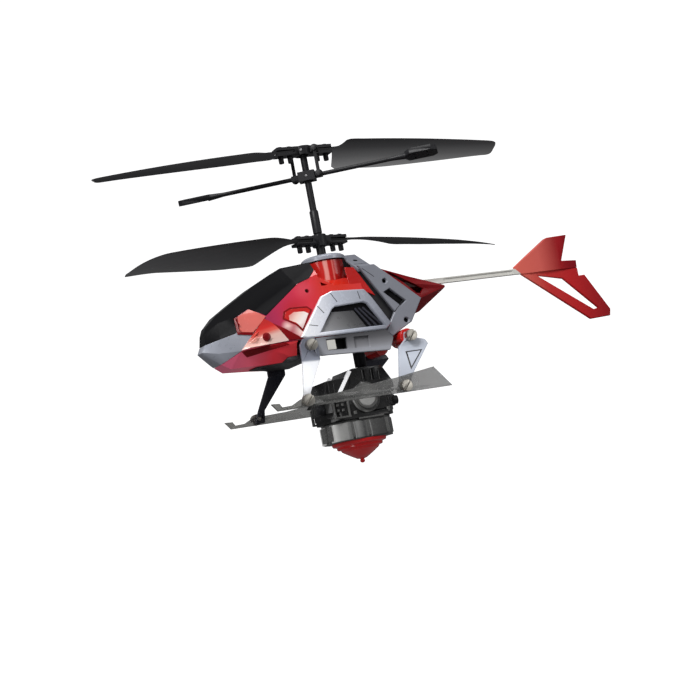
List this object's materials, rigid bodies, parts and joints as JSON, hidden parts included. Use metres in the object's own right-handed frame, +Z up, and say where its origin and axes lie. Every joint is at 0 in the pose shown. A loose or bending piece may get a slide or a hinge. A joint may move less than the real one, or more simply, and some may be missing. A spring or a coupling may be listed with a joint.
{
  "type": "remote control helicopter",
  "caption": "Toy coaxial remote control helicopter with counter-turning rotors, a stabiliser bar, a faceted cabin, landing skids and a drop pod.",
  "frame": {"origin": "on the rotor mast axis, level with the undersides of the skids", "axes": "+X to the nose, +Y to the helicopter's left, +Z up along the mast"},
  "size_m": [0.2354, 0.064, 0.1398],
  "materials": {
    "gloss_black": "high gloss",
    "gloss_red": "high gloss",
    "dark_red": "gloss",
    "silver_plastic": "satin silver",
    "grey_plastic": "satin",
    "matte_black": "fine texture",
    "cream_strip": "satin",
    "fin_red": "faded red",
    "smoke_plastic": "smoky",
    "pale_plastic": "pale",
    "navy_plastic": "dark",
    "screw_metal": "dull nickel",
    "bearing_metal": "polished",
    "cell_foil": "foil",
    "board_green": "solder mask",
    "gear_white": "satin",
    "brass_metal": "bright",
    "blade_black": "soft sheen",
    "pod_grey": "satin"
  },
  "bodies": {
    "airframe": {"chassis": "matte_black", "keel": "matte_black", "canopy": "gloss_black", "chin_fairing": "silver_plastic", "left_side_panel": "gloss_red", "right_side_panel": "gloss_red", "belly_pan": "dark_red", "cheek_plugs": "dark_red", "turret": "gloss_red", "mast_ring": "silver_plastic", "left_bridge": "silver_plastic", "right_bridge": "silver_plastic", "left_lower_frame": "grey_plastic", "right_lower_frame": "grey_plastic", "rear_arch_frame": "grey_plastic", "rear_cone": "dark_red", "tail_boom": "cream_strip", "upper_fin": "fin_red", "lower_fin": "dark_red", "left_skid": "smoke_plastic", "right_skid": "smoke_plastic", "left_front_strut": "pale_plastic", "right_front_strut": "navy_plastic", "left_rear_strut": "silver_plastic", "right_rear_strut": "navy_plastic", "rear_bosses": "gloss_red", "slotted_screws": "screw_metal", "mast_bearings": "bearing_metal", "battery": "cell_foil", "circuit_board": "board_green", "infrared_receiver": "gloss_black", "charge_socket": "matte_black", "switch_body": "matte_black", "front_motor": "bearing_metal", "rear_motor": "bearing_metal", "pod_holder": "matte_black"},
    "switch": {"switch_slider": "gear_white"},
    "front_pinion": {"front_pinion": "brass_metal"},
    "rear_pinion": {"rear_pinion": "brass_metal"},
    "lower_rotor": {"outer_shaft": "gloss_black", "outer_gear": "gear_white", "lower_hub": "matte_black", "lower_blades": "blade_black", "lower_hub_bolts": "matte_black"},
    "mast": {"inner_shaft": "bearing_metal", "inner_gear": "gear_white", "shaft_sleeve": "matte_black", "teeter_pins": "bearing_metal"},
    "upper_rotor": {"upper_hub": "matte_black", "upper_blades": "blade_black", "upper_hub_bolts": "matte_black"},
    "stabiliser": {"flybar": "matte_black"},
    "front_link": {"flybar_link_front": "matte_black"},
    "rear_link": {"flybar_link_rear": "matte_black"},
    "pod": {"pod_body": "matte_black", "pod_drum": "pod_grey", "pod_cone": "dark_red", "pod_lens": "pod_grey", "pod_knobs": "matte_black"}
  },
  "joints": [
    {"name": "lower_rotor_spin", "type": "hinge", "parent": "airframe", "child": "lower_rotor", "pos_m": [0, 0, 0.0724], "axis": [0, 0, 1], "continuous": true},
    {"name": "upper_rotor_spin", "type": "hinge", "parent": "airframe", "child": "mast", "pos_m": [0, 0, 0.1], "axis": [0, 0, 1], "continuous": true},
    {"name": "front_motor_spin", "type": "hinge", "parent": "airframe", "child": "front_pinion", "pos_m": [0.0126, 0, 0.037], "axis": [0, 0, 1], "continuous": true},
    {"name": "rear_motor_spin", "type": "hinge", "parent": "airframe", "child": "rear_pinion", "pos_m": [-0.0126, 0, 0.048], "axis": [0, 0, 1], "continuous": true},
    {"name": "stabiliser_teeter", "type": "hinge", "parent": "mast", "child": "stabiliser", "pos_m": [0, 0, 0.1012], "axis": [0.524, 0.8517, 0], "range_deg": [-12, 12]},
    {"name": "upper_rotor_teeter", "type": "hinge", "parent": "mast", "child": "upper_rotor", "pos_m": [0, 0, 0.1126], "axis": [0.524, 0.8517, 0], "range_deg": [-12, 12]},
    {"name": "front_link_tilt", "type": "hinge", "parent": "stabiliser", "child": "front_link", "pos_m": [0.00477, -0.00293, 0.1012], "axis": [0.524, 0.8517, 0], "range_deg": [-12, 12]},
    {"name": "rear_link_tilt", "type": "hinge", "parent": "stabiliser", "child": "rear_link", "pos_m": [-0.00477, 0.00293, 0.1012], "axis": [0.524, 0.8517, 0], "range_deg": [-12, 12]},
    {"name": "power_switch_slide", "type": "slide", "parent": "airframe", "child": "switch", "axis": [-1, 0, 0], "range_m": [0, 0.0046]},
    {"name": "pod_release", "type": "slide", "parent": "airframe", "child": "pod", "axis": [0, 0, -1], "range_m": [0, 0.012]}
  ],
  "couplings": [
    {"joint": "front_motor_spin", "follows": "upper_rotor_spin", "ratio": -6},
    {"joint": "rear_motor_spin", "follows": "lower_rotor_spin", "ratio": -6},
    {"joint": "upper_rotor_teeter", "follows": "stabiliser_teeter", "ratio": 1},
    {"joint": "front_link_tilt", "follows": "stabiliser_teeter", "ratio": -1},
    {"joint": "rear_link_tilt", "follows": "stabiliser_teeter", "ratio": -1}
  ]
}
